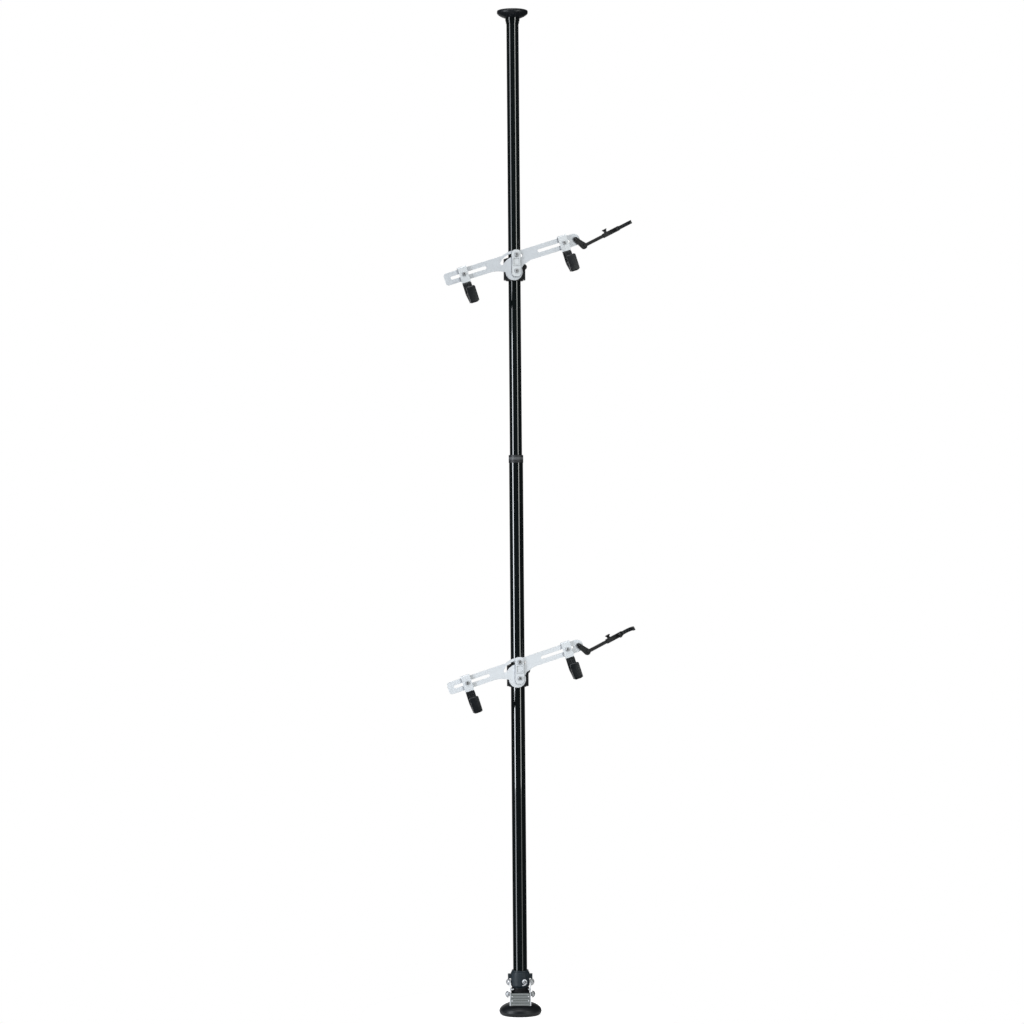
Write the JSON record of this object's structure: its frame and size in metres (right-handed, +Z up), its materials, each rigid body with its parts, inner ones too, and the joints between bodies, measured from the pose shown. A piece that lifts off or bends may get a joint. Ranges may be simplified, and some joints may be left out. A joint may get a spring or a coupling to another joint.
{
  "type": "two tier bike rack",
  "caption": "Telescopic floor-to-ceiling pole with a foot pedal and tilting mounts, each with sliding padded hooks and a stabiliser arm, for hanging bicycles in tiers.",
  "frame": {"origin": "centre of the foot's underside, on the pole's axis", "axes": "+Z up along the pole, hooks face -Y, the stabiliser arms are on the +X side"},
  "size_m": [0.5366, 0.1453, 2.859],
  "materials": {
    "gloss_black": "gloss black powder coat on aluminium tube",
    "satin_black": "satin black coat on castings",
    "hook_black": "black coat on bent steel",
    "rubber": "matt moulded rubber",
    "black_plastic": "fine moulded grain",
    "silver": "silver anodised, fine speckle",
    "steel": "bright plated steel",
    "tread_grey": "grey cast tread with ridges"
  },
  "bodies": {
    "root": {"foot_pad": "rubber", "base_post": "satin_black", "lower_axle": "steel"},
    "pole": {"lower_tube": "gloss_black", "pole_housing": "satin_black", "upper_axle": "steel", "wedge_ring": "black_plastic"},
    "pedal": {"pedal": "tread_grey", "pedal_frame": "steel"},
    "catch": {"catch": "steel"},
    "collar": {"lock_collar": "satin_black"},
    "upper_pole": {"upper_tube": "gloss_black", "guide_bush": "black_plastic", "ceiling_hub": "satin_black", "ceiling_pad": "rubber"},
    "lower_liner": {"lower_liner": "black_plastic"},
    "lower_clamp": {"lower_clamp": "satin_black", "lower_bracket": "silver", "lower_bolts": "steel", "lower_shoe": "black_plastic", "lower_washers": "black_plastic"},
    "lower_lever": {"lower_clamp_screw": "steel", "lower_clamp_lever": "black_plastic"},
    "lower_beam": {"lower_beam": "silver", "lower_arm_rivet": "steel"},
    "lower_hook_left": {"lower_hook_left": "hook_black", "lower_hook_left_pad": "rubber", "lower_hook_left_bracket": "silver", "lower_hook_left_bolt": "steel"},
    "lower_hook_right": {"lower_hook_right": "hook_black", "lower_hook_right_pad": "rubber", "lower_hook_right_bracket": "silver", "lower_hook_right_bolt": "steel"},
    "lower_arm": {"lower_arm": "black_plastic"},
    "lower_yoke": {"lower_yoke": "black_plastic", "lower_yoke_pad": "rubber"},
    "lower_knob": {"lower_knob": "black_plastic"},
    "upper_liner": {"upper_liner": "black_plastic"},
    "upper_clamp": {"upper_clamp": "satin_black", "upper_bracket": "silver", "upper_bolts": "steel", "upper_shoe": "black_plastic", "upper_washers": "black_plastic"},
    "upper_lever": {"upper_clamp_screw": "steel", "upper_clamp_lever": "black_plastic"},
    "upper_beam": {"upper_beam": "silver", "upper_arm_rivet": "steel"},
    "upper_hook_left": {"upper_hook_left": "hook_black", "upper_hook_left_pad": "rubber", "upper_hook_left_bracket": "silver", "upper_hook_left_bolt": "steel"},
    "upper_hook_right": {"upper_hook_right": "hook_black", "upper_hook_right_pad": "rubber", "upper_hook_right_bracket": "silver", "upper_hook_right_bolt": "steel"},
    "upper_arm": {"upper_arm": "black_plastic"},
    "upper_yoke": {"upper_yoke": "black_plastic", "upper_yoke_pad": "rubber"},
    "upper_knob": {"upper_knob": "black_plastic"}
  },
  "joints": [
    {"name": "pedal_swing", "type": "hinge", "parent": "root", "child": "pedal", "pos_m": [0, 0, 0.057], "axis": [-0.9877, 0.1564, 0], "range_deg": [0, 32]},
    {"name": "pole_lift", "type": "slide", "parent": "root", "child": "pole", "axis": [0, 0, 1], "range_m": [-0.008, 0]},
    {"name": "catch_turn", "type": "hinge", "parent": "pole", "child": "catch", "pos_m": [0.01235, -0.00196, 0.096], "axis": [0.1564, 0.9877, 0], "range_deg": [0, 90]},
    {"name": "collar_turn", "type": "hinge", "parent": "pole", "child": "collar", "pos_m": [0, 0, 1.582], "axis": [0, 0, 1], "range_deg": [0, 120]},
    {"name": "upper_pole_slide", "type": "slide", "parent": "pole", "child": "upper_pole", "axis": [0, 0, 1], "range_m": [-0.3, 0.15]},
    {"name": "lower_liner_slide", "type": "slide", "parent": "pole", "child": "lower_liner", "axis": [0, 0, 1], "range_m": [-0.3, 0.15]},
    {"name": "lower_clamp_turn", "type": "hinge", "parent": "lower_liner", "child": "lower_clamp", "pos_m": [0, 0, 0.959], "axis": [0, 0, 1], "continuous": true},
    {"name": "lower_lever_turn", "type": "hinge", "parent": "lower_clamp", "child": "lower_lever", "pos_m": [0, 0.04, 0.948], "axis": [0, 1, 0], "range_deg": [-180, 180]},
    {"name": "lower_beam_tilt", "type": "hinge", "parent": "lower_clamp", "child": "lower_beam", "pos_m": [0, -0.031, 0.959], "axis": [0, -1, 0], "range_deg": [-62.5, 17]},
    {"name": "lower_hook_left_slide", "type": "slide", "parent": "lower_beam", "child": "lower_hook_left", "axis": [0.9537, 0, 0.3007], "range_m": [-0.034, 0.064]},
    {"name": "lower_hook_right_slide", "type": "slide", "parent": "lower_beam", "child": "lower_hook_right", "axis": [0.9537, 0, 0.3007], "range_m": [-0.074, 0.006]},
    {"name": "lower_arm_swing", "type": "hinge", "parent": "lower_beam", "child": "lower_arm", "pos_m": [0.17068, -0.036, 1.04951], "axis": [0, 1, 0], "range_deg": [-25, 40]},
    {"name": "lower_yoke_slide", "type": "slide", "parent": "lower_arm", "child": "lower_yoke", "axis": [0.891, 0, 0.454], "range_m": [-0.016, 0.004]},
    {"name": "lower_knob_turn", "type": "hinge", "parent": "lower_yoke", "child": "lower_knob", "pos_m": [0.26048, -0.038, 1.064], "axis": [-0.454, 0, 0.891], "continuous": true},
    {"name": "upper_liner_slide", "type": "slide", "parent": "upper_pole", "child": "upper_liner", "axis": [0, 0, 1], "range_m": [-0.12, 0.3]},
    {"name": "upper_clamp_turn", "type": "hinge", "parent": "upper_liner", "child": "upper_clamp", "pos_m": [0, 0, 2.115], "axis": [0, 0, 1], "continuous": true},
    {"name": "upper_lever_turn", "type": "hinge", "parent": "upper_clamp", "child": "upper_lever", "pos_m": [0, 0.04, 2.104], "axis": [0, 1, 0], "range_deg": [-180, 180]},
    {"name": "upper_beam_tilt", "type": "hinge", "parent": "upper_clamp", "child": "upper_beam", "pos_m": [0, -0.031, 2.115], "axis": [0, -1, 0], "range_deg": [-62.5, 17]},
    {"name": "upper_hook_left_slide", "type": "slide", "parent": "upper_beam", "child": "upper_hook_left", "axis": [0.9537, 0, 0.3007], "range_m": [-0.034, 0.064]},
    {"name": "upper_hook_right_slide", "type": "slide", "parent": "upper_beam", "child": "upper_hook_right", "axis": [0.9537, 0, 0.3007], "range_m": [-0.074, 0.006]},
    {"name": "upper_arm_swing", "type": "hinge", "parent": "upper_beam", "child": "upper_arm", "pos_m": [0.17068, -0.036, 2.20551], "axis": [0, 1, 0], "range_deg": [-25, 40]},
    {"name": "upper_yoke_slide", "type": "slide", "parent": "upper_arm", "child": "upper_yoke", "axis": [0.891, 0, 0.454], "range_m": [-0.016, 0.004]},
    {"name": "upper_knob_turn", "type": "hinge", "parent": "upper_yoke", "child": "upper_knob", "pos_m": [0.26048, -0.038, 2.22], "axis": [-0.454, 0, 0.891], "continuous": true}
  ],
  "couplings": [
    {"joint": "pedal_swing", "follows": "pole_lift", "rad_per_m": -69.813}
  ]
}
